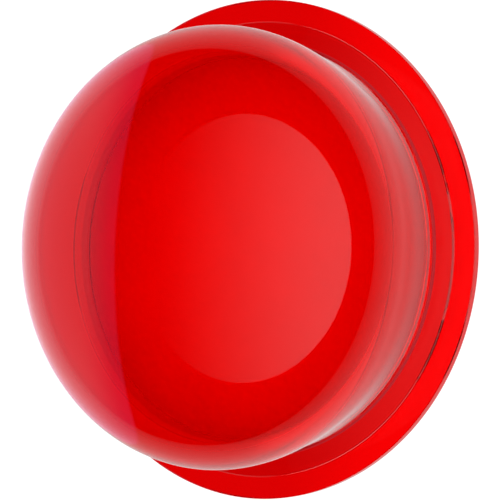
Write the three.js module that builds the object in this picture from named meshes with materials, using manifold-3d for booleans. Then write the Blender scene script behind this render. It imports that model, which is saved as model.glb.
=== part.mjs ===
// Illuminated dome pushbutton of the kind that quiz players slap: a clear red dome rides in a
// clear red bezel, and a plunger, return spring, lamp and snap-action switch hang below the panel.
// Units are millimetres. The origin is the centre of the bezel's back face, +Z is the button's axis.
import * as THREE from 'three';
import { mergeVertices } from 'three/addons/utils/BufferGeometryUtils.js';
import Module from 'manifold-3d';

const wasm = await Module();
wasm.setup();

// ---- Driving dimensions ---------------------------------------------------------------------
const ROUND = 64; // sides of the large turned pieces
const SMALL_ROUND = 24; // sides of the small turned pieces
const GAP = 0.3; // between pieces that touch on the real object
const PAST = 1; // how far a cutter runs past the face that it opens
const OVERLAP = 0.5; // how far two solids that are joined reach into each other

// Bezel: a thin flange with a raised collar around the well that the dome slides in
const FLANGE_R = 50;
const FLANGE_THICKNESS = 1.7;
const FLANGE_EDGE = 0.15;
const COLLAR_R = 45.5;
const COLLAR_HEIGHT = 2.2;
const WELL_R = 41.45;
const WELL_RIM_HEIGHT = 3.1;
const WELL_FLOOR = 0.9;

// Threaded barrel, moulded in one with the bezel
const BARREL_R = 12;
const BARREL_LENGTH = 30;
const BORE_R = 9.5;
const THREAD_PITCH = 3;
const THREAD_DEPTH = 0.9;
const THREAD_START = 3.5;
const THREAD_TURNS = 8;
const LEDGE_THICKNESS = 2.5;
const LEDGE_BORE_R = 7.1;
const WINDOW_HALF_WIDTH = 3; // windows in the barrel for the bracket's hooks
const WINDOW_HALF_HEIGHT = 1.5;
const WINDOW_STEP = 0.2; // the windows start this far inside the bore's face
const KEYWAY_HALF_WIDTH = 1.5;

// Dome: a straight skirt, a flank that swells to the bulge, and an elliptical crown.
// Its stroke is 1.9 mm, and the skirt stays clear of the well's floor at the end of it.
const SKIRT_R = 41.1;
const SKIRT_BOTTOM = 3;
const SKIRT_TOP = 5;
const BULGE_R = 43.3;
const BULGE_HEIGHT = 17;
const DOME_TOP = 41;
const DOME_WALL = 3.8;
const FLANK_STEPS = 4;
const CROWN_STEPS = 11;

// Diffuser plate that closes the dome from below, and its socket for the stem
const PLATE_BOTTOM = 3.1;
const PLATE_THICKNESS = 1.2;
const PLATE_R = BULGE_R - DOME_WALL - GAP;
const SOCKET_R = 9.1;
const SOCKET_BORE_R = 7;
const SOCKET_BOTTOM = -2.5;

// Stem, and the foot on its lower end
const STEM_R = 6.7;
const STEM_BORE_R = 5.4;
const STEM_BOTTOM = -32.5;
const FOOT_THICKNESS = 2;
const FOOT_R = 10.4;
const FOOT_BORE_R = 7;
const TOE = { x: [-3, 10], y: [7.5, 16] };
const KEY_REACH = [7.4, 9.1];
const KEY_HALF_WIDTH = 1.2;
const KEY_HEAD_ROOM = 0.4;

// Return spring
const SPRING_R = 8;
const SPRING_WIRE = 1;
const SPRING_TURNS = 6;
const SPRING_STEPS = 10; // per turn

// Panel gap, washer and nut
const PANEL_GAP = 6;
const WASHER_R = 17.5;
const WASHER_THICKNESS = 1.5;
const NUT_FLATS = 34;
const NUT_THICKNESS = 6;
const NUT_BORE_R = 12.35;

// Lamp bracket
const BASE_TOP = -36;
const BASE_THICKNESS = 2;
const BRACKET_HALF_WIDTH = 14.4;
const ARM_THICKNESS = 2;
const ARM_TOP = -22.5;
const ARM_HALF_DEPTH = 4;
const HOOK_Z = -24.5;
const HOOK_HALF_WIDTH = 2.6;
const HOOK_HALF_HEIGHT = 1;
const HOOK_LENGTH = 2;
const WALL_FRONT = 8; // the face that carries the switch
const WALL_THICKNESS = 1.8;
const WALL_BOTTOM = -54;
const BASE_REAR = -8;

// Lamp socket and wedge-base lamp
const LAMP_SOCKET_R = 5.9;
const LAMP_SOCKET_BORE_R = 5;
const LAMP_SOCKET_TOP = -34.9;
const LAMP_SOCKET_BOTTOM = -46.5;
const LAMP_SOCKET_FLOOR = LAMP_SOCKET_BOTTOM + 4;
const LAMP_COLLAR_R = LAMP_SOCKET_R + 2.1;
const CATCH_REACH = 1;
const CATCH_HALF_WIDTH = 1;
const CATCH_DROP = 1.4;
const LAMP_SLOT = { halfWidth: 1.8, reach: [2.2, 3.5] };
const LAMP_STRIP = { halfWidth: 1.5, reach: [2.5, 3.2], rise: 8.5, drop: 3.8 };
const LAMP_R = 4.7;
const LAMP_NECK = -34.5;
const LAMP_BOARD_BOTTOM = -18.7;
const LAMP_LENS_TOP = -9;
const LAMP_LENS_WALL = 0.8;
const LAMP_LENS_STEPS = 6;
const LAMP_BOARD_THICKNESS = 1;
const LAMP_BOARD_R = LAMP_R - 0.2;
const WEDGE = { halfLength: 4.2, halfDepth: 2.1, lift: 0.6 };
const EMITTER = { x: [-1.7, 1.7], y: [-1.4, 1.4], z: [-17.4, -16.5] };

// Snap-action switch
const CASE_HALF_LENGTH = 13.9;
const CASE_BACK = WALL_FRONT + GAP;
const CASE_FRONT = CASE_BACK + 8.5;
const CASE_TOP = -38;
const CASE_BOTTOM = -53.9;
const CASE_WALL = 1.6;
const COVER_THICKNESS = 1.5;
const SWITCH_HOLE_X = 11.1;
const SWITCH_HOLE_R = 1.65;
const BOSS_R = 2.4;
const SCREW_R = 1.35;
const SCREW_HEAD_R = 2.7;
const SCREW_HEAD_HEIGHT = 1.7;
const SCREW_SLOT_FLOOR = 0.9;
const SCREW_SLOT_HALF_WIDTH = 0.4;
const SWITCH_HOLES = [
  { name: 'switch_screw_left', x: -SWITCH_HOLE_X, z: -40.9 },
  { name: 'switch_screw_right', x: SWITCH_HOLE_X, z: -51 },
];
const SWITCH_MIDDLE = 13.4; // Y of the lever, button and contacts
const LEVER_PIVOT = { x: -12.4, z: -36 };
const LEVER_TIP = { x: 8, z: -33.6 };
const LEVER_WIDTH = 3.8;
const LEVER_THICKNESS = 0.6;
const LEVER_CURL_R = 1.5;
const LEVER_EYE_R = 0.9;
const LEVER_TIP_R = 0.8;
const LEVER_PIN_R = 0.6;
const EAR_THICKNESS = 0.9;
const EAR_TOP = -34.4;
const EAR_LENGTH = 3.1;
const BUTTON_X = -4;
const BUTTON = { halfWidth: 1.2, halfDepth: 1.5, bottom: -42.5, top: -35.7 };
const BUTTON_COLLAR = { half: 2, bottom: -40.8 };
const BUTTON_HOLE = { halfWidth: 1.5, halfDepth: 1.8 };
const CONTACT_X = -7.3;
const CONTACT_R = 0.9;
const BLADE_PIVOT_X = 7.4;
const BLADE_Z = -43;
const BLADE_Y = [SWITCH_MIDDLE - 1.4, SWITCH_MIDDLE + 1.6];
const BLADE_HALF_THICKNESS = 0.2;
const BEAD_HALF_HEIGHT = 0.35;
const TERMINAL_BACK = 10.2;
const TERMINAL_THICKNESS = 0.8;
const TERMINAL_END = -61;
const TAB_SET_BACK = 0.15; // the outside tabs are this much thinner on each face

// ---- Materials ------------------------------------------------------------------------------
function finish(color, roughness, metalness = 0) {
  return new THREE.MeshStandardMaterial({ color, roughness, metalness });
}

const clearRed = finish(0xe60510, 0.08);
const whitePlastic = finish(0xf2f0ea, 0.45);
const blackPlastic = finish(0x1b1b1d, 0.5);
const greyPlastic = finish(0x8e9094, 0.5);
const rubber = finish(0x202022, 0.85);
const steel = finish(0xa9adb2, 0.3, 1);
const brass = finish(0xc9a54a, 0.3, 1);
const boardGreen = finish(0x1f6b3a, 0.5);
const lampYellow = finish(0xe8d36a, 0.4);
const lampClear = finish(0xf4f6f6, 0.1);

// ---- Solids ---------------------------------------------------------------------------------
// A solid is closed and welded, so that it can be joined, cut or shown.
function toSolid(geometry) {
  const shell = geometry.clone();
  shell.deleteAttribute('normal');
  shell.deleteAttribute('uv');
  const welded = mergeVertices(shell, 1e-4);
  const corners = welded.index.array;
  const triVerts = [];
  for (let i = 0; i < corners.length; i += 3) {
    const [a, b, c] = [corners[i], corners[i + 1], corners[i + 2]];
    if (a !== b && b !== c && c !== a) {
      triVerts.push(a, b, c);
    }
  }
  return new wasm.Manifold(new wasm.Mesh({
    numProp: 3,
    vertProperties: welded.attributes.position.array,
    triVerts: new Uint32Array(triVerts),
  }));
}

function toGeometry(solid) {
  const mesh = solid.getMesh();
  const geometry = new THREE.BufferGeometry();
  geometry.setAttribute('position', new THREE.BufferAttribute(mesh.vertProperties, 3));
  geometry.setIndex(new THREE.BufferAttribute(mesh.triVerts, 1));
  geometry.computeVertexNormals();
  return geometry;
}

// A turned solid from [radius, z] points that run anticlockwise; a ring's outline closes itself.
function turned(outline, sides = ROUND) {
  const points = outline.map(([radius, z]) => new THREE.Vector2(radius, z));
  const onAxis = outline[0][0] === 0;
  if (!onAxis) {
    points.push(points[0].clone());
  }
  return toSolid(new THREE.LatheGeometry(points, sides).rotateX(Math.PI / 2));
}

function ring(innerR, outerR, bottom, top, sides = SMALL_ROUND) {
  return turned([[innerR, bottom], [outerR, bottom], [outerR, top], [innerR, top]], sides);
}

function disc(radius, bottom, top, sides = SMALL_ROUND) {
  return turned([[0, bottom], [radius, bottom], [radius, top], [0, top]], sides);
}

function box([x0, x1], [y0, y1], [z0, z1]) {
  const geometry = new THREE.BoxGeometry(x1 - x0, y1 - y0, z1 - z0);
  geometry.translate((x0 + x1) / 2, (y0 + y1) / 2, (z0 + z1) / 2);
  return toSolid(geometry);
}

// A round bar along Y, for pins, screws and their holes.
function barY(radius, x, z, y0, y1, sides = SMALL_ROUND) {
  const geometry = new THREE.CylinderGeometry(radius, radius, y1 - y0, sides);
  geometry.translate(x, (y0 + y1) / 2, z);
  return toSolid(geometry);
}

function join(first, ...others) {
  return others.reduce((sum, other) => sum.add(other), first);
}

function cut(first, ...others) {
  return others.reduce((rest, other) => rest.subtract(other), first);
}

// The two sides of a symmetrical piece, and ranges measured out from its middle.
const SIDES = [-1, 1];

function spread(half) {
  return [-half, half];
}

function stretch(side, near, far) {
  return [side * near, side * far].sort((a, b) => a - b);
}

function piece(name, solid, material) {
  const mesh = new THREE.Mesh(toGeometry(solid), material);
  mesh.name = name;
  return mesh;
}

// ---- Bezel and barrel -----------------------------------------------------------------------
function threadOutline() {
  const points = [];
  for (let turn = THREAD_TURNS - 1; turn >= 0; turn -= 1) {
    const top = -THREAD_START - turn * THREAD_PITCH;
    points.push([BARREL_R - THREAD_DEPTH, top - 0.8 * THREAD_PITCH]);
    points.push([BARREL_R, top - 0.55 * THREAD_PITCH]);
    points.push([BARREL_R, top - 0.45 * THREAD_PITCH]);
    points.push([BARREL_R - THREAD_DEPTH, top - 0.2 * THREAD_PITCH]);
  }
  return points;
}

function bezelBody() {
  const ledgeTop = -BARREL_LENGTH + LEDGE_THICKNESS;
  const body = turned([
    [LEDGE_BORE_R, -BARREL_LENGTH],
    [BARREL_R - THREAD_DEPTH, -BARREL_LENGTH],
    ...threadOutline(),
    [BARREL_R - THREAD_DEPTH, 0],
    [FLANGE_R - FLANGE_EDGE, 0],
    [FLANGE_R, FLANGE_EDGE],
    [FLANGE_R, FLANGE_THICKNESS - FLANGE_EDGE],
    [FLANGE_R - FLANGE_EDGE, FLANGE_THICKNESS],
    [COLLAR_R + FLANGE_EDGE, FLANGE_THICKNESS],
    [COLLAR_R, FLANGE_THICKNESS + FLANGE_EDGE],
    [COLLAR_R, COLLAR_HEIGHT - FLANGE_EDGE],
    [COLLAR_R - FLANGE_EDGE, COLLAR_HEIGHT],
    [WELL_R + FLANGE_EDGE, WELL_RIM_HEIGHT],
    [WELL_R, WELL_RIM_HEIGHT - FLANGE_EDGE],
    [WELL_R, WELL_FLOOR],
    [BORE_R, WELL_FLOOR],
    [BORE_R, ledgeTop],
    [LEDGE_BORE_R, ledgeTop],
  ]);
  const hookWindows = box(
    spread(BARREL_R + PAST),
    spread(WINDOW_HALF_WIDTH),
    [HOOK_Z - WINDOW_HALF_HEIGHT, HOOK_Z + WINDOW_HALF_HEIGHT],
  );
  const coreHalfHeight = 2 * WINDOW_HALF_HEIGHT;
  const core = disc(BORE_R - WINDOW_STEP, HOOK_Z - coreHalfHeight, HOOK_Z + coreHalfHeight);
  const keyways = box(
    spread(BORE_R), spread(KEYWAY_HALF_WIDTH), [-BARREL_LENGTH - PAST, ledgeTop + OVERLAP],
  );
  return cut(body, hookWindows.subtract(core), keyways);
}

// ---- Dome and plunger -----------------------------------------------------------------------
// The crown's outer face, or its inner face when it is inset by the wall.
function crownOutline(inset) {
  const points = [];
  for (let step = 0; step < CROWN_STEPS; step += 1) {
    const angle = (Math.PI / 2) * (step / CROWN_STEPS);
    const radius = (BULGE_R - inset) * Math.cos(angle);
    points.push([radius, BULGE_HEIGHT + (DOME_TOP - BULGE_HEIGHT - inset) * Math.sin(angle)]);
  }
  points.push([0, DOME_TOP - inset]);
  return points;
}

// Inside, the dome is straight below the crown, so that it comes off its mould's core.
function domeLens() {
  const flank = [[SKIRT_R, SKIRT_BOTTOM]];
  for (let step = 0; step < FLANK_STEPS; step += 1) {
    const rise = step / FLANK_STEPS;
    const swell = 1 - (1 - rise) ** 2 * (1 + rise);
    const radius = SKIRT_R + (BULGE_R - SKIRT_R) * swell;
    flank.push([radius, SKIRT_TOP + (BULGE_HEIGHT - SKIRT_TOP) * rise]);
  }
  const mouth = [BULGE_R - DOME_WALL, SKIRT_BOTTOM];
  return turned([...flank, ...crownOutline(0), ...crownOutline(DOME_WALL).reverse(), mouth]);
}

function diffuserPlate() {
  const top = PLATE_BOTTOM + PLATE_THICKNESS;
  return turned([
    [0, PLATE_BOTTOM],
    [SOCKET_BORE_R, PLATE_BOTTOM],
    [SOCKET_BORE_R, SOCKET_BOTTOM],
    [SOCKET_R, SOCKET_BOTTOM],
    [SOCKET_R, PLATE_BOTTOM],
    [PLATE_R, PLATE_BOTTOM],
    [PLATE_R, top],
    [0, top],
  ]);
}

function plungerStem() {
  return ring(STEM_BORE_R, STEM_R, STEM_BOTTOM, PLATE_BOTTOM - GAP);
}

// The foot stops the stem under the barrel's ledge, slides in its keyways and pushes the lever.
function plungerFoot() {
  const top = STEM_BOTTOM + FOOT_THICKNESS;
  const collar = ring(FOOT_BORE_R, FOOT_R, STEM_BOTTOM, top);
  const bore = disc(FOOT_BORE_R + OVERLAP, STEM_BOTTOM - PAST, top + PAST);
  const toe = box(TOE.x, TOE.y, [STEM_BOTTOM, top]).subtract(bore);
  const keyTop = -BARREL_LENGTH + LEDGE_THICKNESS - KEY_HEAD_ROOM;
  const keys = SIDES.map((side) => (
    box(stretch(side, ...KEY_REACH), spread(KEY_HALF_WIDTH), [STEM_BOTTOM + OVERLAP, keyTop])
  ));
  return join(collar, toe, ...keys);
}

class Helix extends THREE.Curve {
  constructor(radius, bottom, top, turns) {
    super();
    Object.assign(this, { radius, bottom, top, turns });
  }

  getPoint(t, target = new THREE.Vector3()) {
    const angle = 2 * Math.PI * this.turns * t;
    const height = this.bottom + (this.top - this.bottom) * t;
    return target.set(this.radius * Math.cos(angle), this.radius * Math.sin(angle), height);
  }
}

function returnSpring() {
  const wire = SPRING_WIRE / 2;
  const bottom = -BARREL_LENGTH + LEDGE_THICKNESS + GAP + wire;
  const top = SOCKET_BOTTOM - GAP - wire;
  const section = new THREE.Shape();
  section.absarc(0, 0, wire, 0, 2 * Math.PI);
  return toSolid(new THREE.ExtrudeGeometry(section, {
    extrudePath: new Helix(SPRING_R, bottom, top, SPRING_TURNS),
    steps: SPRING_TURNS * SPRING_STEPS,
    curveSegments: 4,
    bevelEnabled: false,
  }));
}

// ---- Washer and nut -------------------------------------------------------------------------
function panelWasher() {
  return ring(NUT_BORE_R, WASHER_R, -PANEL_GAP - WASHER_THICKNESS, -PANEL_GAP, ROUND);
}

function mountingNut() {
  const top = -PANEL_GAP - WASHER_THICKNESS - GAP;
  const bottom = top - NUT_THICKNESS;
  const corner = NUT_FLATS / Math.sqrt(3);
  const chamfer = corner - NUT_FLATS / 2;
  const blank = new THREE.CylinderGeometry(corner, corner, NUT_THICKNESS, 6);
  blank.rotateX(Math.PI / 2).translate(0, 0, (bottom + top) / 2);
  const envelope = turned([
    [NUT_BORE_R, bottom],
    [NUT_FLATS / 2, bottom],
    [corner, bottom + chamfer / 2],
    [corner, top - chamfer / 2],
    [NUT_FLATS / 2, top],
    [NUT_BORE_R, top],
  ]);
  return toSolid(blank).intersect(envelope);
}

// ---- Lamp bracket, socket and lamp ----------------------------------------------------------
function lampBracket() {
  const baseBottom = BASE_TOP - BASE_THICKNESS;
  const armInside = BRACKET_HALF_WIDTH - ARM_THICKNESS;
  const wallBack = WALL_FRONT - WALL_THICKNESS;
  const across = spread(BRACKET_HALF_WIDTH);
  const base = box(across, [BASE_REAR, WALL_FRONT], [baseBottom, BASE_TOP]);
  const wall = box(across, [wallBack, WALL_FRONT], [WALL_BOTTOM, BASE_TOP - OVERLAP]);
  const arms = SIDES.flatMap((side) => {
    const arm = stretch(side, armInside, BRACKET_HALF_WIDTH);
    const hook = stretch(side, armInside - HOOK_LENGTH, armInside + OVERLAP);
    return [
      box(arm, spread(ARM_HALF_DEPTH), [BASE_TOP - 2 * OVERLAP, ARM_TOP]),
      box(hook, spread(HOOK_HALF_WIDTH), [HOOK_Z - HOOK_HALF_HEIGHT, HOOK_Z + HOOK_HALF_HEIGHT]),
    ];
  });
  const lampHole = disc(LAMP_SOCKET_R + GAP, baseBottom - PAST, BASE_TOP + PAST);
  const screwHoles = SWITCH_HOLES.map(({ x, z }) => (
    barY(SWITCH_HOLE_R, x, z, wallBack - PAST, WALL_FRONT + PAST)
  ));
  return cut(join(base, wall, ...arms), lampHole, ...screwHoles);
}

function lampSocket() {
  const baseBottom = BASE_TOP - BASE_THICKNESS;
  const shell = turned([
    [0, LAMP_SOCKET_BOTTOM],
    [LAMP_SOCKET_R, LAMP_SOCKET_BOTTOM],
    [LAMP_SOCKET_R, BASE_TOP + GAP],
    [LAMP_COLLAR_R, BASE_TOP + GAP],
    [LAMP_COLLAR_R, LAMP_SOCKET_TOP],
    [LAMP_SOCKET_BORE_R, LAMP_SOCKET_TOP],
    [LAMP_SOCKET_BORE_R, LAMP_SOCKET_FLOOR],
    [0, LAMP_SOCKET_FLOOR],
  ], SMALL_ROUND);
  const catches = SIDES.map((side) => box(
    stretch(side, LAMP_SOCKET_R - OVERLAP, LAMP_SOCKET_R + CATCH_REACH),
    spread(CATCH_HALF_WIDTH),
    [baseBottom - CATCH_DROP, baseBottom - GAP],
  ));
  const slots = SIDES.map((side) => box(
    spread(LAMP_SLOT.halfWidth),
    stretch(side, ...LAMP_SLOT.reach),
    [LAMP_SOCKET_BOTTOM - PAST, LAMP_SOCKET_FLOOR + PAST],
  ));
  return cut(join(shell, ...catches), ...slots);
}

function lampTerminal(side) {
  const { halfWidth, reach: [near, far], rise, drop } = LAMP_STRIP;
  const strip = (outside, bottom, top) => (
    box(spread(halfWidth), stretch(side, near, outside), [bottom, top])
  );
  const inner = strip(far, LAMP_SOCKET_BOTTOM - OVERLAP, LAMP_SOCKET_BOTTOM + rise);
  const tab = strip(far - TAB_SET_BACK, LAMP_SOCKET_BOTTOM - drop, LAMP_SOCKET_BOTTOM);
  return join(inner, tab);
}

function lampBase() {
  const bottom = LAMP_SOCKET_FLOOR + WEDGE.lift;
  const wedge = box(
    spread(WEDGE.halfLength), spread(WEDGE.halfDepth), [bottom, LAMP_NECK + 2 * OVERLAP],
  );
  return join(disc(LAMP_R, LAMP_NECK, LAMP_BOARD_BOTTOM - GAP), wedge);
}

function lampBoard() {
  return disc(LAMP_BOARD_R, LAMP_BOARD_BOTTOM, LAMP_BOARD_BOTTOM + LAMP_BOARD_THICKNESS);
}

function lampLens() {
  const innerR = LAMP_R - LAMP_LENS_WALL;
  const bottom = LAMP_BOARD_BOTTOM + LAMP_BOARD_THICKNESS + GAP;
  const shoulder = LAMP_LENS_TOP - LAMP_R;
  const outside = [];
  const inside = [];
  for (let step = 0; step <= LAMP_LENS_STEPS; step += 1) {
    const angle = (Math.PI / 2) * (step / LAMP_LENS_STEPS);
    const across = step === LAMP_LENS_STEPS ? 0 : Math.cos(angle);
    const up = Math.sin(angle);
    outside.push([LAMP_R * across, shoulder + LAMP_R * up]);
    inside.unshift([innerR * across, shoulder + innerR * up]);
  }
  return turned([[LAMP_R, bottom], ...outside, ...inside, [innerR, bottom]], SMALL_ROUND);
}

// ---- Snap-action switch ---------------------------------------------------------------------
const cavity = {
  x: CASE_HALF_LENGTH - CASE_WALL,
  back: CASE_BACK + CASE_WALL,
  top: CASE_TOP - CASE_WALL,
  bottom: CASE_BOTTOM + CASE_WALL,
};

// Each terminal is a strip that leaves through the floor and turns forward to its contact.
const TERMINALS = {
  terminal_com: { x: [5.2, 8.2], top: -42.6 },
  terminal_no: { x: [-12.1, -9.2], top: -45.2 },
  terminal_nc: { x: [-8.4, -5.6], top: -41.3 },
};

function switchCase() {
  const shell = box(
    spread(CASE_HALF_LENGTH), [CASE_BACK, CASE_FRONT], [CASE_BOTTOM, CASE_TOP],
  );
  const hollow = box(
    spread(cavity.x), [cavity.back, CASE_FRONT + PAST], [cavity.bottom, cavity.top],
  );
  const bosses = SWITCH_HOLES.map(({ x, z }) => (
    barY(BOSS_R, x, z, CASE_BACK + OVERLAP, CASE_FRONT)
  ));
  const holes = SWITCH_HOLES.map(({ x, z }) => (
    barY(SWITCH_HOLE_R, x, z, CASE_BACK - PAST, CASE_FRONT + PAST)
  ));
  const earSpan = [-CASE_HALF_LENGTH, EAR_LENGTH - CASE_HALF_LENGTH];
  const ears = SIDES.map((side) => {
    const near = SWITCH_MIDDLE + side * (LEVER_WIDTH / 2 + GAP);
    const span = [near, near + side * EAR_THICKNESS].sort((a, b) => a - b);
    return box(earSpan, span, [CASE_TOP - OVERLAP, EAR_TOP]);
  });
  const pinHole = barY(LEVER_EYE_R, LEVER_PIVOT.x, LEVER_PIVOT.z, CASE_BACK, CASE_FRONT + PAST);
  const buttonHole = box(
    [BUTTON_X - BUTTON_HOLE.halfWidth, BUTTON_X + BUTTON_HOLE.halfWidth],
    [SWITCH_MIDDLE - BUTTON_HOLE.halfDepth, SWITCH_MIDDLE + BUTTON_HOLE.halfDepth],
    [cavity.top - PAST, CASE_TOP + PAST],
  );
  const slots = Object.values(TERMINALS).map(({ x: [x0, x1] }) => box(
    [x0 - GAP, x1 + GAP],
    [TERMINAL_BACK - GAP, TERMINAL_BACK + TERMINAL_THICKNESS + GAP],
    [CASE_BOTTOM - PAST, cavity.bottom + PAST],
  ));
  return cut(join(cut(shell, hollow), ...bosses, ...ears), ...holes, pinHole, buttonHole, ...slots);
}

function switchCover() {
  const back = CASE_FRONT + GAP;
  const front = back + COVER_THICKNESS;
  const plate = box(spread(CASE_HALF_LENGTH), [back, front], [CASE_BOTTOM, CASE_TOP]);
  const holes = SWITCH_HOLES.map(({ x, z }) => (
    barY(SWITCH_HOLE_R, x, z, back - PAST, front + PAST)
  ));
  return cut(plate, ...holes);
}

function switchScrew({ x, z }) {
  const headBack = CASE_FRONT + GAP + COVER_THICKNESS + GAP;
  const headFront = headBack + SCREW_HEAD_HEIGHT;
  const shank = barY(SCREW_R, x, z, WALL_FRONT - WALL_THICKNESS, headBack + OVERLAP);
  const head = barY(SCREW_HEAD_R, x, z, headBack, headFront);
  const slot = box(
    [x - SCREW_HEAD_R - PAST, x + SCREW_HEAD_R + PAST],
    [headBack + SCREW_SLOT_FLOOR, headFront + PAST],
    [z - SCREW_SLOT_HALF_WIDTH, z + SCREW_SLOT_HALF_WIDTH],
  );
  return cut(join(shank, head), slot);
}

function switchButton() {
  const { halfWidth, halfDepth, bottom, top } = BUTTON;
  const post = box(
    [BUTTON_X - halfWidth, BUTTON_X + halfWidth],
    [SWITCH_MIDDLE - halfDepth, SWITCH_MIDDLE + halfDepth],
    [bottom, top],
  );
  const { half } = BUTTON_COLLAR;
  const collar = box(
    [BUTTON_X - half, BUTTON_X + half],
    [SWITCH_MIDDLE - half, SWITCH_MIDDLE + half],
    [BUTTON_COLLAR.bottom, cavity.top - GAP],
  );
  return join(post, collar);
}

function switchLever() {
  const [y0, y1] = [SWITCH_MIDDLE - LEVER_WIDTH / 2, SWITCH_MIDDLE + LEVER_WIDTH / 2];
  const run = LEVER_TIP.x - LEVER_PIVOT.x;
  const rise = LEVER_TIP.z - LEVER_PIVOT.z;
  const blade = new THREE.BoxGeometry(Math.hypot(run, rise), y1 - y0, LEVER_THICKNESS);
  blade.rotateY(-Math.atan2(rise, run));
  blade.translate(LEVER_PIVOT.x + run / 2, SWITCH_MIDDLE, LEVER_PIVOT.z + rise / 2);
  const curl = barY(LEVER_CURL_R, LEVER_PIVOT.x, LEVER_PIVOT.z, y0, y1);
  const eye = barY(LEVER_EYE_R, LEVER_PIVOT.x, LEVER_PIVOT.z, y0 - PAST, y1 + PAST);
  const tip = barY(LEVER_TIP_R, LEVER_TIP.x, LEVER_TIP.z, y0, y1);
  return cut(join(toSolid(blade), curl, tip), eye);
}

function leverPin() {
  const reach = LEVER_WIDTH / 2 + GAP + EAR_THICKNESS;
  const { x, z } = LEVER_PIVOT;
  return barY(LEVER_PIN_R, x, z, SWITCH_MIDDLE - reach, SWITCH_MIDDLE + reach);
}

function contactBlade() {
  const leaf = box(
    [CONTACT_X - 1.1, BLADE_PIVOT_X - 0.4],
    BLADE_Y,
    [BLADE_Z - BLADE_HALF_THICKNESS, BLADE_Z + BLADE_HALF_THICKNESS],
  );
  return join(leaf, rivet(BLADE_Z - BEAD_HALF_HEIGHT, BLADE_Z + BEAD_HALF_HEIGHT));
}

function terminalStrip(name) {
  const { x, top } = TERMINALS[name];
  const front = TERMINAL_BACK + TERMINAL_THICKNESS;
  const inner = box(x, [TERMINAL_BACK, front], [CASE_BOTTOM - OVERLAP, top]);
  const tabFaces = [TERMINAL_BACK + TAB_SET_BACK, front - TAB_SET_BACK];
  return join(inner, box(x, tabFaces, [TERMINAL_END, CASE_BOTTOM]));
}

function rivet(bottom, top) {
  return disc(CONTACT_R, bottom, top).translate([CONTACT_X, SWITCH_MIDDLE, 0]);
}

function terminalCom() {
  const post = box([BLADE_PIVOT_X, 8.2], [TERMINAL_BACK + 0.4, 14.8], [-45, -42.6]);
  return join(terminalStrip('terminal_com'), post);
}

function terminalNo() {
  const arm = box([-12.1, -9.2], [TERMINAL_BACK + 0.4, 14.3], [-45.9, -45.2]);
  const reach = box([-9.7, -6.4], [11.4, 14.3], [-45.9, -45.2]);
  return join(terminalStrip('terminal_no'), arm, reach, rivet(-45.5, -44.7));
}

function terminalNc() {
  const arm = box([-8.4, -6.4], [TERMINAL_BACK + 0.4, 14.3], [-41.9, -41.3]);
  return join(terminalStrip('terminal_nc'), arm, rivet(BLADE_Z + 0.65, -41.6));
}

// ---- Assembly -------------------------------------------------------------------------------
const buzzer = new THREE.Group();
buzzer.add(
  piece('dome_lens', domeLens(), clearRed),
  piece('diffuser_plate', diffuserPlate(), whitePlastic),
  piece('plunger_stem', plungerStem(), whitePlastic),
  piece('plunger_foot', plungerFoot(), whitePlastic),
  piece('return_spring', returnSpring(), steel),
  piece('bezel_body', bezelBody(), clearRed),
  piece('panel_washer', panelWasher(), rubber),
  piece('mounting_nut', mountingNut(), blackPlastic),
  piece('lamp_bracket', lampBracket(), blackPlastic),
  piece('lamp_socket', lampSocket(), greyPlastic),
  piece('lamp_terminal_front', lampTerminal(-1), brass),
  piece('lamp_terminal_rear', lampTerminal(1), brass),
  piece('lamp_base', lampBase(), whitePlastic),
  piece('lamp_board', lampBoard(), boardGreen),
  piece('led_emitter', box(EMITTER.x, EMITTER.y, EMITTER.z), lampYellow),
  piece('lamp_lens', lampLens(), lampClear),
  piece('switch_case', switchCase(), blackPlastic),
  piece('switch_cover', switchCover(), greyPlastic),
  piece('switch_button', switchButton(), whitePlastic),
  piece('switch_lever', switchLever(), steel),
  piece('lever_pin', leverPin(), steel),
  piece('contact_blade', contactBlade(), brass),
  piece('terminal_com', terminalCom(), brass),
  piece('terminal_no', terminalNo(), brass),
  piece('terminal_nc', terminalNc(), brass),
);
for (const hole of SWITCH_HOLES) {
  buzzer.add(piece(hole.name, switchScrew(hole), steel));
}

export default buzzer;
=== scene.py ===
"""Illuminated dome pushbutton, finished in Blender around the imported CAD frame.

Lengths in the constants are millimetres; meshes are built in metres, in the CAD frame.
"""
import math

import bmesh
import bpy
from mathutils import Matrix, Vector


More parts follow.
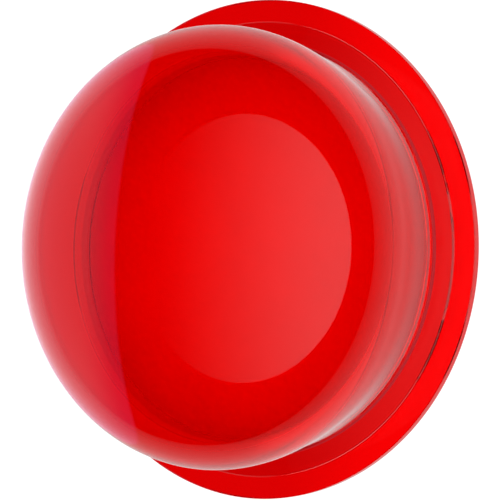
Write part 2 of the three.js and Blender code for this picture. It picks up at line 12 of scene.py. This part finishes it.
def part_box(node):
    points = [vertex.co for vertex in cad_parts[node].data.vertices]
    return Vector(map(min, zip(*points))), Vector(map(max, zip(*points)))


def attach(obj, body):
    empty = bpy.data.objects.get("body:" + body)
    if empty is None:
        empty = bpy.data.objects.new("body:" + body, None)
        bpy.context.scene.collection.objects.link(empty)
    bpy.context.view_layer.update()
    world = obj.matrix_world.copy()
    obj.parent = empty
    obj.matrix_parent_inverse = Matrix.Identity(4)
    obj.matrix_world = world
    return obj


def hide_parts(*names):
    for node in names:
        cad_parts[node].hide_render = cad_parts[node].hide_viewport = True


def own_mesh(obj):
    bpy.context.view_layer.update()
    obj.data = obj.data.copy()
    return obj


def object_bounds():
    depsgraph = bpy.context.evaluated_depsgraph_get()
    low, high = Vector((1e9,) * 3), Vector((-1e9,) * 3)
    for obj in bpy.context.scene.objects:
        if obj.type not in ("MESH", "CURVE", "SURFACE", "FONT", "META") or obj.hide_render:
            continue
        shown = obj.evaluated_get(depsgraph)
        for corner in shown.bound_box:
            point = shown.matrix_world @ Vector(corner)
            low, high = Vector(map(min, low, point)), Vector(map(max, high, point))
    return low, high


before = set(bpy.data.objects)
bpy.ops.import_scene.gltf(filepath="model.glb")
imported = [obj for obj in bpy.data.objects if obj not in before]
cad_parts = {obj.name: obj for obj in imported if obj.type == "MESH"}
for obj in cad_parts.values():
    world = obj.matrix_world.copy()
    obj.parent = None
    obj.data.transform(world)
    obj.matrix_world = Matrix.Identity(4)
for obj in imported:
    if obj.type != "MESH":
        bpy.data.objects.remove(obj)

CAD_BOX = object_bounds()
MM = 0.001

# ---- Driving dimensions ----------------------------------------------------------------------
ROUND = 256  # sides of the large turned pieces
SMALL_ROUND = 96

FLANGE_R, FLANGE_THICKNESS, FLANGE_EDGE = 50.0, 1.7, 0.15
COLLAR_R, COLLAR_HEIGHT = 45.5, 2.2
WELL_R, WELL_RIM_HEIGHT, WELL_FLOOR = 41.45, 3.1, 0.9
LIP_R = 41.2  # the CAD's well has no lip, so as to leave its gap round the skirt

BARREL_R, BARREL_LENGTH, BORE_R = 12.0, 30.0, 9.5
THREAD_PITCH, THREAD_DEPTH = 3.0, 0.9
THREAD_TOP, THREAD_BOTTOM = -3.5, -27.5
THREAD_STEPS = 14  # rings per pitch
THREAD_RUN_OUT = 1.5
THREAD_ROOT, THREAD_FLANK = 0.1, 0.25  # half the root and one flank, as shares of the pitch
LEDGE_THICKNESS, LEDGE_BORE_R = 2.5, 7.1
HOOK_Z = -24.5  # the middle of the barrel's two windows, for the bracket's hooks
WINDOW_HALF_WIDTH, WINDOW_HALF_HEIGHT = 3.0, 1.5
KEYWAY_HALF_WIDTH = 1.5
PAST, BORE_PAST, LEDGE_PAST = 1.0, 0.2, 0.5  # how far the cutters run past what they cut

SKIRT_R, SKIRT_BOTTOM, SKIRT_TOP = 41.1, 3.0, 5.0
BULGE_R, BULGE_HEIGHT, DOME_TOP, DOME_WALL = 43.3, 17.0, 41.0, 3.8
FLANK_STEPS, CROWN_STEPS = 24, 64

PLATE_BOTTOM, PLATE_TOP, PLATE_EDGE = 3.1, 4.3, 0.3
PLATE_R = 39.45  # the CAD's is 39.2, so as to leave a gap inside the skirt
SOCKET_R, SOCKET_BORE_R, SOCKET_BOTTOM = 9.1, 7.0, -2.5

STEM_WALL, STEM_EDGE = 1.3, 0.25

SPRING_R, SPRING_WIRE, SPRING_TURNS = 8.0, 1.0, 6
SPRING_STEPS = 36  # per turn
WIRE_SHARE = 0.98  # of the CAD wire's radius

WASHER_R, WASHER_EDGE = 17.5, 0.25
NUT_BORE_R = 12.35  # and the washer's

LAMP_LENS_WALL, LAMP_LENS_STEPS = 0.8, 20


# ---- Meshes ----------------------------------------------------------------------------------
def show(name, mesh, crease=30):
    """A new object in the scene, smooth but for edges sharper than the crease angle."""
    for face in mesh.polygons:
        face.use_smooth = True
    mesh.set_sharp_from_angle(angle=math.radians(crease))
    piece = bpy.data.objects.new(name, mesh)
    bpy.context.scene.collection.objects.link(piece)
    return piece


def turned(name, outline, sides=ROUND, crease=30):
    """A turned solid. The outline's points are (radius, z), and a radius may be a function of
    the angle; an outline that starts on the axis ends on it, and any other closes itself."""
    verts, faces, rings = [], [], []
    for radius, z in outline:
        if radius == 0:
            rings.append([len(verts)])
            verts.append((0, 0, z * MM))
            continue
        ring = []
        for side in range(sides):
            angle = 2 * math.pi * side / sides
            reach = (radius(angle) if callable(radius) else radius) * MM
            ring.append(len(verts))
            verts.append((reach * math.cos(angle), reach * math.sin(angle), z * MM))
        rings.append(ring)
    following = rings[1:] + ([] if outline[0][0] == 0 else rings[:1])
    for lower, upper in zip(rings, following):
        if len(lower) == len(upper) == 1:
            continue
        for side in range(sides):
            after = (side + 1) % sides
            if len(lower) == 1:
                faces.append((lower[0], upper[after], upper[side]))
            elif len(upper) == 1:
                faces.append((lower[side], lower[after], upper[0]))
            else:
                faces.append((lower[side], lower[after], upper[after], upper[side]))
    mesh = bpy.data.meshes.new(name)
    mesh.from_pydata(verts, [], faces)
    return show(name, mesh, crease)


def softened(node, width=0.15, crease=35):
    """A copy of a CAD node's shape with its sharp edges rounded off, as a moulding's are."""
    shape = bmesh.new()
    shape.from_mesh(bpy.data.objects[node].data)
    bmesh.ops.remove_doubles(shape, verts=shape.verts, dist=0.002 * MM)
    bmesh.ops.dissolve_limit(
        shape, angle_limit=math.radians(1), verts=shape.verts, edges=shape.edges
    )
    sharp = [edge for edge in shape.edges if edge.calc_face_angle(0) > math.radians(crease)]
    bmesh.ops.bevel(
        shape, geom=sharp, offset=width * MM, segments=2, profile=0.5,
        affect="EDGES", clamp_overlap=True,
    )
    mesh = bpy.data.meshes.new(node + "_part")
    shape.to_mesh(mesh)
    shape.free()
    return show(node + "_part", mesh, crease)


def block(low, high):
    """A box between two corners, used only to cut with."""
    mesh = bpy.data.meshes.new("cutter")
    shape = bmesh.new()
    size = [b - a for a, b in zip(low, high)]
    middle = [(a + b) / 2 for a, b in zip(low, high)]
    place = Matrix.Translation(Vector(middle) * MM) @ Matrix.Diagonal([s * MM for s in size] + [1])
    bmesh.ops.create_cube(shape, size=1, matrix=place)
    shape.to_mesh(mesh)
    shape.free()
    cutter = bpy.data.objects.new("cutter", mesh)
    bpy.context.scene.collection.objects.link(cutter)
    return cutter


def cut(piece, cutters, crease=30):
    """Cut the boxes out of a piece for good."""
    for cutter in cutters:
        trim = piece.modifiers.new("cut", "BOOLEAN")
        trim.object = cutter
        trim.operation = "DIFFERENCE"
        trim.solver = "EXACT"
    bpy.context.view_layer.update()
    result = piece.evaluated_get(bpy.context.evaluated_depsgraph_get())
    mesh = bpy.data.meshes.new_from_object(result)
    piece.modifiers.clear()
    piece.data = mesh
    mesh.set_sharp_from_angle(angle=math.radians(crease))
    for cutter in cutters:
        bpy.data.objects.remove(cutter)


# ---- Material nodes --------------------------------------------------------------------------
class Nodes:
    """Short calls to build one node tree."""

    def __init__(self, tree):
        self.tree = tree
        tree.nodes.clear()

    def add(self, kind, **settings):
        node = self.tree.nodes.new("ShaderNode" + kind)
        for key, value in settings.items():
            setattr(node, key, value)
        return node

    def put(self, socket, value):
        if isinstance(value, bpy.types.NodeSocket):
            self.tree.links.new(value, socket)
        else:
            socket.default_value = value

    def math(self, operation, *values, clamp=False):
        node = self.add("Math", operation=operation, use_clamp=clamp)
        for socket, value in zip(node.inputs, values):
            self.put(socket, value)
        return node.outputs[0]

    def noise(self, coordinates, scale, detail=3.0, roughness=0.5):
        node = self.add("TexNoise")
        self.put(node.inputs["Vector"], coordinates)
        self.put(node.inputs["Scale"], scale)
        self.put(node.inputs["Detail"], detail)
        self.put(node.inputs["Roughness"], roughness)
        return node.outputs[0]

    def span(self, value, low, high, to_low=0.0, to_high=1.0, smooth=True):
        node = self.add("MapRange")
        node.interpolation_type = "SMOOTHSTEP" if smooth else "LINEAR"
        for socket, number in zip(node.inputs, (value, low, high, to_low, to_high)):
            self.put(socket, number)
        return node.outputs[0]

    def blend(self, factor, first, second):
        node = self.add("Mix", data_type="RGBA")
        self.put(node.inputs[0], factor)
        self.put(node.inputs[6], first)
        self.put(node.inputs[7], second)
        return node.outputs[2]

    def bump(self, height, strength, distance):
        node = self.add("Bump")
        self.put(node.inputs["Strength"], strength)
        self.put(node.inputs["Distance"], distance)
        self.put(node.inputs["Height"], height)
        return node.outputs["Normal"]


def new_material(name):
    """A material with its node helper, shader, output and object coordinates."""
    material = bpy.data.materials.new(name)
    material.use_nodes = True
    nodes = Nodes(material.node_tree)
    output = nodes.add("OutputMaterial")
    shader = nodes.add("BsdfPrincipled")
    nodes.tree.links.new(shader.outputs[0], output.inputs["Surface"])
    place = nodes.add("TexCoord").outputs["Object"]
    return material, nodes, shader, output, place


def clear_plastic(name, haze=0.02, tint=(1.0, 1.0, 1.0), absorption=None, density=0.0):
    """Clear polished plastic with faint handling haze. A thick wall's colour deepens with its
    thickness, through its absorption; a thin plate has one even tint."""
    material, nodes, shader, output, place = new_material(name)
    shader.inputs["Base Color"].default_value = (*tint, 1)
    shader.inputs["IOR"].default_value = 1.5
    shader.inputs["Transmission Weight"].default_value = 1.0
    smudges = nodes.noise(place, 45.0, 4.0, 0.6)
    nodes.put(shader.inputs["Roughness"], nodes.span(smudges, 0.45, 0.75, haze * 0.6, haze * 1.8))
    ripple = nodes.noise(place, 60.0, 2.0)
    nodes.put(shader.inputs["Normal"], nodes.bump(ripple, 0.05, 0.0002))
    if absorption:
        depth = nodes.add("VolumeAbsorption")
        depth.inputs["Color"].default_value = (*absorption, 1)
        depth.inputs["Density"].default_value = density
        nodes.tree.links.new(depth.outputs[0], output.inputs["Volume"])
    return material


def moulded(name, colour, roughness, grain=900.0, grain_depth=0.00003, tone=0.06, wear=0.35):
    """Opaque moulded plastic or rubber: spark-eroded grain, uneven sheen, edges rubbed paler."""
    material, nodes, shader, _, place = new_material(name)
    shader.inputs["IOR"].default_value = 1.48
    patches = nodes.noise(place, 90.0, 3.0)
    darker = [channel * (1 - 2 * tone) for channel in colour] + [1]
    paler = [min(1.0, channel * (1 + tone) + 0.004) for channel in colour] + [1]
    body = nodes.blend(nodes.span(patches, 0.3, 0.7), darker, paler)
    edge = nodes.span(nodes.add("NewGeometry").outputs["Pointiness"], 0.52, 0.62)
    rubbed = [min(1.0, channel * 1.25 + 0.05) for channel in colour] + [1]
    rubbing = nodes.span(nodes.noise(place, 260.0), 0.35, 0.65, 0.0, wear)
    scuffs = nodes.math("MULTIPLY", edge, rubbing)
    nodes.put(shader.inputs["Base Color"], nodes.blend(scuffs, body, rubbed))
    nodes.put(
        shader.inputs["Roughness"],
        nodes.span(nodes.noise(place, 140.0, 4.0), 0.3, 0.7, roughness * 0.8, roughness * 1.2),
    )
    nodes.put(
        shader.inputs["Normal"],
        nodes.bump(nodes.noise(place, grain * 4, 2.0), 0.35, grain_depth),
    )
    return material


def metal(name, colour, roughness, streaks=(1.0, 1.0, 12.0), tarnish=(0.6, 0.5, 0.4)):
    """Stamped or drawn metal: fine streaks, dulled patches and brighter worn edges."""
    material, nodes, shader, _, place = new_material(name)
    shader.inputs["Metallic"].default_value = 1.0
    stretch = nodes.add("Mapping")
    nodes.put(stretch.inputs["Vector"], place)
    stretch.inputs["Scale"].default_value = streaks
    lines = nodes.noise(stretch.outputs[0], 700.0, 3.0)
    dull = [channel * shade for channel, shade in zip(colour, tarnish)] + [1]
    patches = nodes.span(nodes.noise(place, 180.0, 4.0), 0.5, 0.75, 0.0, 0.55)
    body = nodes.blend(patches, [*colour, 1], dull)
    edge = nodes.span(nodes.add("NewGeometry").outputs["Pointiness"], 0.52, 0.62, 0.0, 0.6)
    bright = [min(1.0, channel * 1.2 + 0.05) for channel in colour] + [1]
    nodes.put(shader.inputs["Base Color"], nodes.blend(edge, body, bright))
    nodes.put(
        shader.inputs["Roughness"], nodes.span(lines, 0.3, 0.7, roughness * 0.7, roughness * 1.4)
    )
    nodes.put(shader.inputs["Normal"], nodes.bump(lines, 0.25, 0.00002))
    return material


# ---- Materials -------------------------------------------------------------------------------
clear_red = clear_plastic("clear_red", absorption=(0.9975, 0.0, 0.01), density=5000.0)
# Two even tints for the bezel's red: the collar's top faces get the darker one, painted shade that
# darkens the ring. Two even tints stand in for one red that deepens with the bezel's thickness.
bezel_red = clear_plastic("bezel_red", tint=(0.99, 0.0005, 0.001))
collar_painted_shade_red = clear_plastic("collar_painted_shade_red", tint=(0.66, 0.0005, 0.001))
lamp_clear = clear_plastic("lamp_clear", haze=0.05, absorption=(0.9, 0.97, 0.95), density=60.0)
white_plastic = moulded("white_plastic", (0.93, 0.92, 0.89), 0.45, tone=0.012)
black_plastic = moulded("black_plastic", (0.03, 0.03, 0.032), 0.5)
grey_plastic = moulded("grey_plastic", (0.42, 0.43, 0.45), 0.5)
washer_rubber = moulded(
    "washer_rubber", (0.02, 0.02, 0.022), 0.85, grain=500.0, grain_depth=0.00008
)
spring_steel = metal("spring_steel", (0.6, 0.61, 0.62), 0.3, tarnish=(0.55, 0.52, 0.5))
contact_brass = metal("contact_brass", (0.72, 0.55, 0.25), 0.28)
board_green = moulded("board_green", (0.03, 0.2, 0.08), 0.3, grain=300.0, wear=0.1)
led_phosphor = moulded("led_phosphor", (0.85, 0.7, 0.2), 0.4, grain=1500.0, wear=0.0)


def finish(piece, body, material, slot, *nodes):
    """Give a piece its body and its material, and hide the CAD nodes that it stands for. Its slot
    is not used.
    """
    piece.data.materials.clear()
    piece.data.materials.append(material)
    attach(piece, body)
    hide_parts(*nodes)
    return piece


# ---- Dome and plunger ------------------------------------------------------------------------
def crown_outline(inset):
    """The crown's outer face, or its inner face when it is inset by the wall."""
    points = []
    for step in range(CROWN_STEPS):
        angle = math.pi / 2 * step / CROWN_STEPS
        height = BULGE_HEIGHT + (DOME_TOP - BULGE_HEIGHT - inset) * math.sin(angle)
        points.append(((BULGE_R - inset) * math.cos(angle), height))
    return points + [(0, DOME_TOP - inset)]


def make_dome():
    """The hollow dome. Its inside is straight below the crown, so its wall thins downwards."""
    flank = [(SKIRT_R, SKIRT_BOTTOM)]
    for step in range(FLANK_STEPS):
        rise = step / FLANK_STEPS
        swell = 1 - (1 - rise) ** 2 * (1 + rise)
        radius = SKIRT_R + (BULGE_R - SKIRT_R) * swell
        flank.append((radius, SKIRT_TOP + (BULGE_HEIGHT - SKIRT_TOP) * rise))
    mouth = (BULGE_R - DOME_WALL, SKIRT_BOTTOM)
    outline = [*flank, *crown_outline(0), *crown_outline(DOME_WALL)[::-1], mouth]
    dome = turned("dome_lens_part", outline, crease=25)
    finish(dome, "plunger", clear_red, "clear_red", "dome_lens")


def make_plate():
    """The white disc across the dome's mouth, with the stem's socket below it."""
    plate = turned("diffuser_plate_part", [
        (0, PLATE_BOTTOM),
        (SOCKET_BORE_R, PLATE_BOTTOM),
        (SOCKET_BORE_R, SOCKET_BOTTOM),
        (SOCKET_R, SOCKET_BOTTOM),
        (SOCKET_R, PLATE_BOTTOM),
        (PLATE_R - PLATE_EDGE, PLATE_BOTTOM),
        (PLATE_R, PLATE_BOTTOM + PLATE_EDGE),
        (PLATE_R, PLATE_TOP - PLATE_EDGE),
        (PLATE_R - PLATE_EDGE, PLATE_TOP),
        (0, PLATE_TOP),
    ])
    finish(plate, "plunger", white_plastic, "white_plastic", "diffuser_plate")


def make_stem():
    low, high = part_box("plunger_stem")
    outer, bottom, top = high.x / MM, low.z / MM, high.z / MM
    inner = outer - STEM_WALL
    stem = turned("plunger_stem_part", [
        (inner, bottom),
        (outer - STEM_EDGE, bottom),
        (outer, bottom + STEM_EDGE),
        (outer, top - STEM_EDGE),
        (outer - STEM_EDGE, top),
        (inner, top),
    ], SMALL_ROUND)
    finish(stem, "plunger", white_plastic, "white_plastic", "plunger_stem")


def make_spring():
    """A coil over the height of the CAD's spring."""
    low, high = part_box("return_spring")
    wire = SPRING_WIRE / 2 * MM
    bottom, top = low.z + wire, high.z - wire
    steps = SPRING_TURNS * SPRING_STEPS
    path = bpy.data.curves.new("spring_path", "CURVE")
    path.dimensions = "3D"
    path.bevel_depth = wire * WIRE_SHARE
    path.bevel_resolution = 4
    path.use_fill_caps = True
    spline = path.splines.new("POLY")
    spline.points.add(steps)
    for step, point in enumerate(spline.points):
        share = step / steps
        angle = 2 * math.pi * SPRING_TURNS * share
        x, y = SPRING_R * MM * math.cos(angle), SPRING_R * MM * math.sin(angle)
        point.co = (x, y, bottom + (top - bottom) * share, 1)
    coil = bpy.data.objects.new("spring_path", path)
    bpy.context.scene.collection.objects.link(coil)
    bpy.context.view_layer.update()
    result = coil.evaluated_get(bpy.context.evaluated_depsgraph_get())
    mesh = bpy.data.meshes.new_from_object(result)
    bpy.data.objects.remove(coil)
    spring = show("return_spring_part", mesh, 60)
    finish(spring, "housing", spring_steel, "spring_steel", "return_spring")
    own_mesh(spring)


# ---- Bezel -----------------------------------------------------------------------------------
def thread_radius(z):
    """The barrel's radius at a height, as a function of the angle, for a right-hand thread."""
    def radius(angle):
        turn = (z / THREAD_PITCH - angle / (2 * math.pi)) % 1
        from_root = 0.5 - abs(turn - 0.5)
        flank = min(1.0, max(0.0, (from_root - THREAD_ROOT) / THREAD_FLANK))
        inside = min(THREAD_TOP - z, z - THREAD_BOTTOM) / THREAD_RUN_OUT
        return BARREL_R - THREAD_DEPTH * (1 - flank * min(1.0, max(0.0, inside)))
    return radius


def make_bezel():
    """The flange, collar and well above the panel, and the threaded barrel below it."""
    ledge_top = -BARREL_LENGTH + LEDGE_THICKNESS
    core = BARREL_R - THREAD_DEPTH
    rings = round((THREAD_TOP - THREAD_BOTTOM) / THREAD_PITCH * THREAD_STEPS)
    heights = [THREAD_BOTTOM + (THREAD_TOP - THREAD_BOTTOM) * i / rings for i in range(rings + 1)]
    bezel = turned("bezel_body_part", [
        (LEDGE_BORE_R, -BARREL_LENGTH),
        (core - FLANGE_EDGE, -BARREL_LENGTH),
        (core, -BARREL_LENGTH + FLANGE_EDGE),
        *((thread_radius(z), z) for z in heights),
        (core, 0),
        (FLANGE_R - FLANGE_EDGE, 0),
        (FLANGE_R, FLANGE_EDGE),
        (FLANGE_R, FLANGE_THICKNESS - FLANGE_EDGE),
        (FLANGE_R - FLANGE_EDGE, FLANGE_THICKNESS),
        (COLLAR_R + FLANGE_EDGE, FLANGE_THICKNESS),
        (COLLAR_R, FLANGE_THICKNESS + FLANGE_EDGE),
        (COLLAR_R, COLLAR_HEIGHT - FLANGE_EDGE),
        (COLLAR_R - FLANGE_EDGE, COLLAR_HEIGHT),
        (LIP_R + FLANGE_EDGE, WELL_RIM_HEIGHT),
        (LIP_R, WELL_RIM_HEIGHT - FLANGE_EDGE),
        (LIP_R, WELL_RIM_HEIGHT - 2 * FLANGE_EDGE),
        (WELL_R, WELL_RIM_HEIGHT - 3 * FLANGE_EDGE),
        (WELL_R, WELL_FLOOR),
        (BORE_R, WELL_FLOOR),
        (BORE_R, ledge_top),
        (LEDGE_BORE_R, ledge_top),
    ], crease=25)
    near, far = BORE_R - BORE_PAST, BARREL_R + PAST
    windows = [
        block(
            (x0, -WINDOW_HALF_WIDTH, HOOK_Z - WINDOW_HALF_HEIGHT),
            (x1, WINDOW_HALF_WIDTH, HOOK_Z + WINDOW_HALF_HEIGHT),
        )
        for x0, x1 in ((-far, -near), (near, far))
    ]
    keyway = block(
        (-BORE_R, -KEYWAY_HALF_WIDTH, -BARREL_LENGTH - PAST),
        (BORE_R, KEYWAY_HALF_WIDTH, ledge_top + LEDGE_PAST),
    )
    cut(bezel, [*windows, keyway], crease=25)
    bezel.visible_glossy = False  # left out of reflections, to match the photograph's
    finish(bezel, "housing", bezel_red, "clear_red", "bezel_body")
    # the collar's top faces take the darker tint, painted shade on the ring
    bezel.data.materials.append(collar_painted_shade_red)
    for face in bezel.data.polygons:
        reach = math.hypot(face.center.x, face.center.y)
        if face.normal.z > 0.5 and WELL_R * MM < reach < COLLAR_R * MM:
            face.material_index = 1


# ---- Washer, nut and lamp lens ---------------------------------------------------------------
def make_washer():
    low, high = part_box("panel_washer")
    bottom, top = low.z / MM, high.z / MM
    washer = turned("panel_washer_part", [
        (NUT_BORE_R, bottom),
        (WASHER_R - WASHER_EDGE, bottom),
        (WASHER_R, bottom + WASHER_EDGE),
        (WASHER_R, top - WASHER_EDGE),
        (WASHER_R - WASHER_EDGE, top),
        (NUT_BORE_R, top),
    ])
    finish(washer, "washer", washer_rubber, "washer_rubber", "panel_washer")


def make_lamp_lens():
    low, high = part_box("lamp_lens")
    outer, bottom = high.x / MM, low.z / MM
    shoulder = high.z / MM - outer

    def arc(radius):
        angles = [math.pi / 2 * step / LAMP_LENS_STEPS for step in range(LAMP_LENS_STEPS)]
        cap = [(radius * math.cos(a), shoulder + radius * math.sin(a)) for a in angles]
        return [(radius, bottom), *cap, (0, shoulder + radius)]

    lens = turned("lamp_lens_part", arc(outer) + arc(outer - LAMP_LENS_WALL)[::-1], SMALL_ROUND)
    finish(lens, "housing", lamp_clear, "lamp_clear", "lamp_lens")


# Each node that keeps its CAD shape: its body, material, slot and rounded edges' width.
SOFT_PIECES = [
    ("plunger_foot", "plunger", white_plastic, "white_plastic", 0.2),
    ("mounting_nut", "nut", black_plastic, "black_plastic", 0.3),
    ("lamp_bracket", "housing", black_plastic, "black_plastic", 0.2),
    ("lamp_socket", "housing", grey_plastic, "grey_plastic", 0.15),
    ("lamp_terminal_front", "housing", contact_brass, "contact_brass", 0.08),
    ("lamp_terminal_rear", "housing", contact_brass, "contact_brass", 0.08),
    ("lamp_base", "housing", white_plastic, "white_plastic", 0.15),
    ("lamp_board", "housing", board_green, "board_green", 0.06),
    ("led_emitter", "housing", led_phosphor, "led_phosphor", 0.12),
    ("switch_case", "housing", black_plastic, "black_plastic", 0.12),
    ("switch_cover", "housing", grey_plastic, "grey_plastic", 0.15),
    ("switch_button", "button", white_plastic, "white_plastic", 0.15),
    ("switch_lever", "lever", spring_steel, "spring_steel", 0.06),
    ("lever_pin", "housing", spring_steel, "spring_steel", 0.08),
    ("contact_blade", "blade", contact_brass, "contact_brass", 0.05),
    ("terminal_com", "housing", contact_brass, "contact_brass", 0.06),
    ("terminal_no", "housing", contact_brass, "contact_brass", 0.06),
    ("terminal_nc", "housing", contact_brass, "contact_brass", 0.06),
    ("switch_screw_left", "housing", spring_steel, "spring_steel", 0.1),
    ("switch_screw_right", "housing", spring_steel, "spring_steel", 0.1),
]

make_dome()
make_plate()
make_stem()
make_spring()
make_bezel()
make_washer()
make_lamp_lens()
for node, body, material, slot, width in SOFT_PIECES:
    finish(softened(node, width), body, material, slot, node)


# ---- Floor, light and camera -----------------------------------------------------------------
WHITE = 1.12  # the background is lit past white
BEHIND = 1.04  # the floor as clear plastic shows it
SHADE = 0.76  # the share of that left in the painted shadow where the button would shade the floor
SHADE_WIDTH = 0.035  # metres over which the painted shadow deepens, from the button's axis towards +Y
FLOOR_GAP, FLOOR_HALF = 0.0005, 5.0
FLOOR_Z = CAD_BOX[0].z - FLOOR_GAP

LIGHT_AXIS = (0, -0.2425, 0.97)  # the middle of the round light that polished faces mirror
LIGHT_RIM = (0.635, 0.645)  # cosines of the angles across its soft rim
KEY_AXIS = (0.1, -0.3, 0.95)  # where scattered light is strongest
OPEN_LIGHT = (0.45, 1.05)  # the weakest and strongest scattered light
THROUGH_LIGHT = 1.85  # the least on a path that has gone through clear plastic


def make_floor():
    """A white table with a painted shadow behind the button, where clear plastic shows it."""
    mesh = bpy.data.meshes.new("floor")
    corners = [(-1, -1), (1, -1), (1, 1), (-1, 1)]
    verts = [(x * FLOOR_HALF, y * FLOOR_HALF, FLOOR_Z) for x, y in corners]
    mesh.from_pydata(verts, [], [(0, 1, 2, 3)])
    floor = bpy.data.objects.new("floor", mesh)
    bpy.context.scene.collection.objects.link(floor)
    material = bpy.data.materials.new("floor")
    material.use_nodes = True
    nodes = Nodes(material.node_tree)
    glow = nodes.add("Emission")
    path = nodes.add("LightPath")
    place = nodes.add("SeparateXYZ")
    nodes.put(place.inputs[0], nodes.add("TexCoord").outputs["Object"])
    # painted shadow: seen through clear plastic, the emissive floor darkens towards +Y behind the
    # button
    painted_shadow = nodes.span(place.outputs[1], 0.0, SHADE_WIDTH, BEHIND, BEHIND * SHADE)
    seen = nodes.math("GREATER_THAN", path.outputs["Transmission Depth"], 0.5)
    change = nodes.math("MULTIPLY", nodes.math("SUBTRACT", painted_shadow, WHITE), seen)
    nodes.put(glow.inputs["Strength"], nodes.math("ADD", change, WHITE))
    output = nodes.add("OutputMaterial")
    nodes.tree.links.new(glow.outputs[0], output.inputs["Surface"])
    mesh.materials.append(material)
    floor.visible_glossy = False  # reflections meet the world's table instead


def make_world():
    """Surroundings that differ with how a ray reached them. Seen directly they are white.
    Polished faces mirror a round soft light overhead, a pale wall behind the button and a table
    below. Scattered light comes mostly from overhead, and is stronger on a path that has gone
    through clear plastic."""
    world = bpy.data.worlds.new("studio")
    bpy.context.scene.world = world
    world.use_nodes = True
    nodes = Nodes(world.node_tree)
    direction = nodes.add("TexCoord").outputs["Generated"]

    def along(axis):
        node = nodes.add("VectorMath", operation="DOT_PRODUCT")
        nodes.put(node.inputs[0], direction)
        node.inputs[1].default_value = axis
        return node.outputs["Value"]

    disc = nodes.span(along(tuple(Vector(LIGHT_AXIS).normalized())), *LIGHT_RIM)
    fade = nodes.span(along((0, -1, 0)), -0.55, 0.95, 0.0, 1.25)
    soft_light = nodes.math("MULTIPLY", disc, fade)
    rear, down = along((0, 1, 0)), along((0, 0, -1))
    wall = nodes.span(rear, 0.70, 0.72)
    horizon = nodes.span(down, -0.01, 0.03)
    near = nodes.span(down, 0.85, 1.0, 1.0, 0.45)
    table = nodes.math("MULTIPLY", nodes.span(down, 0.0, 0.6, 0.15, 0.8, smooth=False), near)
    table = nodes.math("MULTIPLY", table, horizon)

    def with_wall(dim, bright, full):
        glow = nodes.math("MULTIPLY", wall, nodes.span(rear, 0.72, full, dim, bright))
        return nodes.math("ADD", nodes.math("MAXIMUM", soft_light, glow), table)

    cool, warm = with_wall(0.35, 0.6, 0.88), with_wall(0.12, 0.5, 0.9)
    mirrored = nodes.add("CombineColor")
    for socket, value in zip(mirrored.inputs, (cool, warm, cool)):
        nodes.put(socket, value)

    lit = nodes.span(along(tuple(Vector(KEY_AXIS).normalized())), -0.8, 1.0, *OPEN_LIGHT)
    path = nodes.add("LightPath")
    passed = nodes.math("GREATER_THAN", path.outputs["Transmission Depth"], 0.5)
    lit = nodes.math("MAXIMUM", lit, nodes.math("MULTIPLY", passed, THROUGH_LIGHT))
    glossy, through = path.outputs["Is Glossy Ray"], path.outputs["Is Transmission Ray"]
    reflected = nodes.math("SUBTRACT", glossy, through, clamp=True)
    scattered = nodes.math("GREATER_THAN", path.outputs["Diffuse Depth"], 0.5)
    plain = nodes.add("Background")
    plain.inputs["Strength"].default_value = WHITE
    mirror = nodes.add("Background")
    nodes.put(mirror.inputs["Color"], mirrored.outputs[0])
    diffuse = nodes.add("Background")
    nodes.put(diffuse.inputs["Strength"], lit)

    def switch(factor, first, second):
        node = nodes.add("MixShader")
        nodes.put(node.inputs[0], factor)
        nodes.tree.links.new(first.outputs[0], node.inputs[1])
        nodes.tree.links.new(second.outputs[0], node.inputs[2])
        return node

    both = switch(scattered, switch(reflected, plain, mirror), diffuse)
    output = nodes.add("OutputWorld")
    nodes.tree.links.new(both.outputs[0], output.inputs["Surface"])
    bpy.context.scene.view_settings.view_transform = "Standard"


CAMERA_TILT = 0.590  # radians from the button's axis, towards -Y
CAMERA_ROLL = -0.040
CAMERA_DISTANCE = 0.450
CAMERA_LENS = 161.05
CAMERA_SHIFT = (-0.01818, -0.00192)


def make_camera():
    c, s = math.cos(CAMERA_TILT), math.sin(CAMERA_TILT)
    right, up, back = Vector((0, -c, -s)), Vector((1, 0, 0)), Vector((0, -s, c))
    turn = Matrix.Rotation(-CAMERA_ROLL, 3, back)
    right, up = turn @ right, turn @ up
    camera = bpy.data.objects.new("camera", bpy.data.cameras.new("camera"))
    bpy.context.scene.collection.objects.link(camera)
    place = Matrix((right, up, back)).transposed().to_4x4()
    place.translation = back * CAMERA_DISTANCE
    camera.matrix_world = place
    camera.data.sensor_width = 36
    camera.data.lens = CAMERA_LENS
    camera.data.shift_x, camera.data.shift_y = CAMERA_SHIFT
    camera.data.clip_start = 0.01
    bpy.context.scene.camera = camera


make_floor()
make_world()
make_camera()
